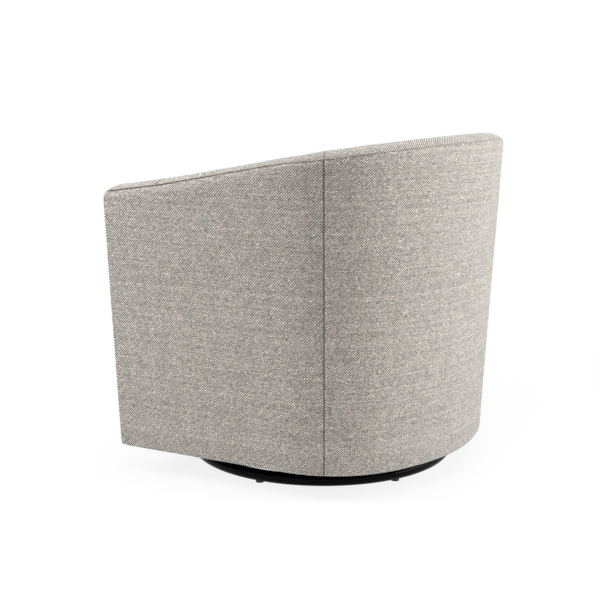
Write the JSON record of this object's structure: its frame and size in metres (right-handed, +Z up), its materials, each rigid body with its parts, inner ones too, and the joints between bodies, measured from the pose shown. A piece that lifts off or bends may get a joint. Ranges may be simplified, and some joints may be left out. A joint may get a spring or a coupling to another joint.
{
  "type": "swivel rocker",
  "caption": "Upholstered tub chair with sloping arms and a rounded back that swivels and rocks on a low round tube base.",
  "frame": {"origin": "on the floor, at the middle of the whole chair's footprint box; the swivel axis stands 39 mm in front of it", "axes": "+Z up, the sitter faces -Y, +X to the chair's right-hand arm as seen in a view along +Y from the front"},
  "size_m": [0.7916, 0.6938, 0.7243],
  "materials": {
    "tweed": "matte",
    "foam": "matte",
    "black_metal": "gloss",
    "plated_steel": "satin",
    "bright_steel": "polished",
    "spring_steel": "satin",
    "nylon": "matte",
    "rubber": "matte",
    "hardwood": "matte",
    "plywood": "matte",
    "fibreboard": "matte",
    "webbing": "matte",
    "cambric": "matte"
  },
  "bodies": {
    "base": {"base_ring": "black_metal", "base_glides": "nylon", "base_spokes": "black_metal", "hub_plate": "black_metal", "lower_race": "plated_steel", "race_bolts": "bright_steel", "kingpin": "bright_steel", "kingpin_washer": "bright_steel", "kingpin_nut": "bright_steel"},
    "ball_race": {"ball_cage": "nylon", "bearing_balls": "bright_steel"},
    "swivel_head": {"upper_race": "plated_steel", "head_bolts": "bright_steel", "kingpin_bush": "nylon", "rocker_lower_bracket": "plated_steel", "pivot_shaft": "bright_steel", "shaft_clips": "bright_steel", "rock_springs": "spring_steel", "spring_cups_lower": "plated_steel", "rubber_stops": "rubber"},
    "chair": {"arm_board_left": "fibreboard", "arm_board_right": "fibreboard", "arm_front_left": "tweed", "arm_front_right": "tweed", "arm_posts": "hardwood", "back_board": "fibreboard", "back_posts": "hardwood", "back_webbing": "webbing", "band_arm_left": "tweed", "band_arm_right": "tweed", "band_back": "tweed", "band_tip_left": "tweed", "band_tip_right": "tweed", "base_hoop_back": "plywood", "base_hoop_sides": "plywood", "cushion_core": "foam", "cushion_cover": "tweed", "deck_pad": "foam", "dust_cover": "cambric", "front_panel": "tweed", "front_posts": "hardwood", "front_rail_lower": "hardwood", "inside_arm_left": "tweed", "inside_arm_right": "tweed", "inside_back": "tweed", "mechanism_bolts": "bright_steel", "mechanism_rails": "hardwood", "outside_arm_left": "tweed", "outside_arm_right": "tweed", "outside_back": "tweed", "pivot_bushes": "nylon", "rocker_upper_bracket": "plated_steel", "seat_rail_back": "plywood", "seat_rail_front": "hardwood", "seat_springs": "bright_steel", "side_rails": "hardwood", "spring_clips": "nylon", "spring_cups_upper": "plated_steel", "top_rail": "plywood"}
  },
  "joints": [
    {"name": "swivel", "type": "hinge", "parent": "base", "child": "swivel_head", "pos_m": [0, -0.039, 0.036], "axis": [0, 0, 1], "continuous": true},
    {"name": "ball_turn", "type": "hinge", "parent": "base", "child": "ball_race", "pos_m": [0, -0.039, 0.036], "axis": [0, 0, 1], "continuous": true},
    {"name": "rock", "type": "hinge", "parent": "swivel_head", "child": "chair", "pos_m": [0, -0.039, 0.1], "axis": [1, 0, 0], "range_deg": [-4, 4], "stiffness_Nm_per_rad": 900, "springref_deg": 0.44, "deforming": ["rock_springs"]}
  ],
  "couplings": [
    {"joint": "ball_turn", "follows": "swivel", "ratio": 0.5}
  ]
}
